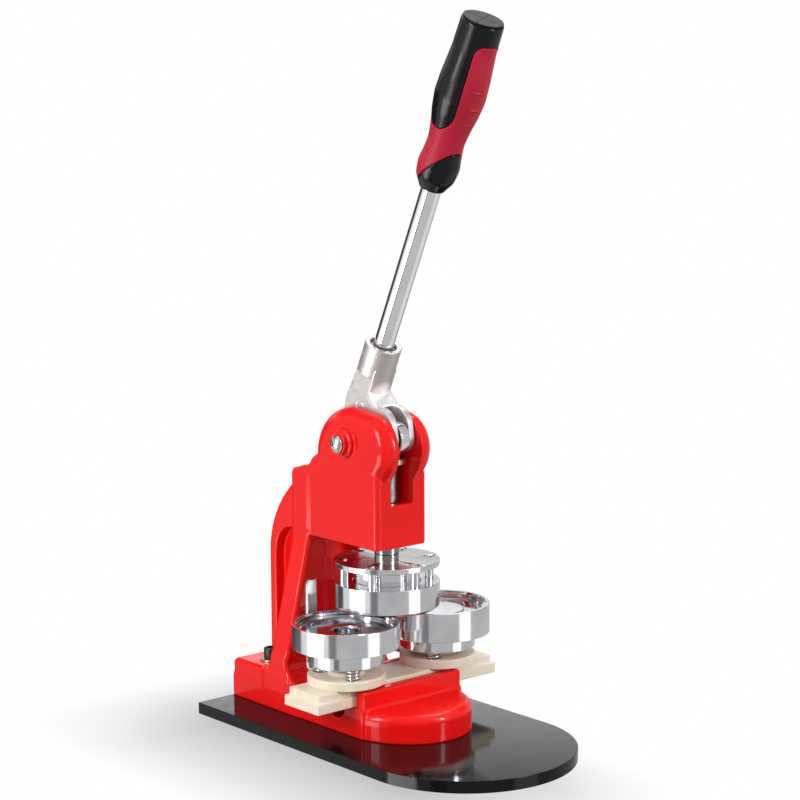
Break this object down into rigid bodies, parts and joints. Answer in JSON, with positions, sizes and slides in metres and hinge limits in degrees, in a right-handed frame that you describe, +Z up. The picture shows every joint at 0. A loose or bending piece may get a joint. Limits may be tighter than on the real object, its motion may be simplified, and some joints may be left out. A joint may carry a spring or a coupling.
{
  "type": "button badge press",
  "caption": "Hand lever press for round button badges: a cast frame on a board, a roller-driven ram with a round upper die, and a slider that carries sprung lower dies.",
  "frame": {"origin": "on the base board's underside, below the ram's axis", "axes": "+X towards the operator's right, along the slider; +Y towards the rear; +Z up, along the ram"},
  "size_m": [0.1767, 0.3005, 0.5393],
  "materials": {
    "board_black": "gloss",
    "red_paint": "gloss enamel",
    "machined_steel": "turned satin",
    "steel": "satin",
    "chrome": "polished",
    "grey_casting": "tumbled zinc casting",
    "zinc_plate": "zinc plated",
    "black_oxide": "black oxide",
    "grip_black": "satin",
    "grip_crimson": "matte",
    "ivory_plastic": "satin"
  },
  "bodies": {
    "frame": {"base_board": "board_black", "frame_casting": "red_paint", "left_rear_bolt": "black_oxide", "left_rear_washer": "zinc_plate", "left_rear_nut": "black_oxide", "left_front_screw": "black_oxide", "right_rear_bolt": "black_oxide", "right_rear_washer": "zinc_plate", "right_rear_nut": "black_oxide", "right_front_screw": "black_oxide", "pivot_shaft": "steel", "left_pivot_screw": "zinc_plate", "right_pivot_screw": "zinc_plate", "slider_stop_pin": "steel"},
    "lever": {"lever_head": "grey_casting", "lever_rod": "chrome", "grip_core": "grip_black", "grip_sleeve": "grip_crimson", "grip_end_cap": "grip_black", "roller_pin": "steel", "roller_inner_ring": "steel"},
    "roller": {"roller_outer_ring": "machined_steel", "roller_ball_cage": "steel"},
    "ram": {"ram": "steel", "ram_head": "zinc_plate", "ram_collar": "steel", "ram_return_spring": "steel"},
    "upper_die": {"upper_die_disc": "machined_steel", "upper_guide_post_1": "steel", "upper_guide_post_2": "steel", "upper_guide_post_3": "steel", "upper_guide_post_4": "steel", "upper_guide_post_5": "steel", "upper_guide_post_6": "steel", "upper_plunger": "machined_steel"},
    "upper_ring": {"upper_ring": "machined_steel", "turn_pin": "steel"},
    "slider": {"slider": "ivory_plastic", "left_die_seat": "ivory_plastic", "right_die_seat": "ivory_plastic", "left_turn_bar": "machined_steel", "right_turn_bar": "machined_steel"},
    "left_die": {"left_die_ring": "machined_steel", "left_die_base": "machined_steel", "left_die_plate": "machined_steel", "left_die_stem": "steel", "left_die_spring_1": "steel", "left_die_spring_2": "steel", "left_die_spring_3": "steel"},
    "right_die": {"right_die_ring": "machined_steel", "right_die_base": "machined_steel", "right_die_plate": "machined_steel", "right_die_stem": "steel", "right_die_spring_1": "steel", "right_die_spring_2": "steel", "right_die_spring_3": "steel"}
  },
  "joints": [
    {"name": "lever_pivot", "type": "hinge", "parent": "frame", "child": "lever", "pos_m": [0, 0.0188, 0.2225], "axis": [1, 0, 0], "range_deg": [0, 34]},
    {"name": "ram_slide", "type": "slide", "parent": "frame", "child": "ram", "axis": [0, 0, -1], "range_m": [0, 0.0147], "stiffness_N_per_m": 1500, "springref_m": -0.03, "deforming": ["ram_return_spring"]},
    {"name": "roller_spin", "type": "hinge", "parent": "lever", "child": "roller", "pos_m": [0, -0.01, 0.227], "axis": [1, 0, 0], "continuous": true},
    {"name": "die_turn", "type": "hinge", "parent": "ram", "child": "upper_die", "pos_m": [0, 0, 0.136], "axis": [0, 0, 1], "range_deg": [-14, 17.5]},
    {"name": "ring_float", "type": "slide", "parent": "upper_die", "child": "upper_ring", "axis": [0, 0, 1], "range_m": [0, 0.0098]},
    {"name": "slider_slide", "type": "slide", "parent": "frame", "child": "slider", "axis": [1, 0, 0], "range_m": [-0.0507, 0.0402]},
    {"name": "left_die_float", "type": "slide", "parent": "slider", "child": "left_die", "axis": [0, 0, 1], "range_m": [-0.005, 0], "stiffness_N_per_m": 4000, "springref_m": 0.004, "deforming": ["left_die_spring_1", "left_die_spring_2", "left_die_spring_3"]},
    {"name": "right_die_float", "type": "slide", "parent": "slider", "child": "right_die", "axis": [0, 0, 1], "range_m": [-0.005, 0], "stiffness_N_per_m": 4000, "springref_m": 0.004, "deforming": ["right_die_spring_1", "right_die_spring_2", "right_die_spring_3"]}
  ],
  "couplings": [
    {"joint": "ram_slide", "follows": "lever_pivot", "m_per_rad": 0.0246},
    {"joint": "ring_float", "follows": "lever_pivot", "m_per_rad": 0.01635},
    {"joint": "die_turn", "follows": "slider_slide", "rad_per_m": -5.934}
  ]
}
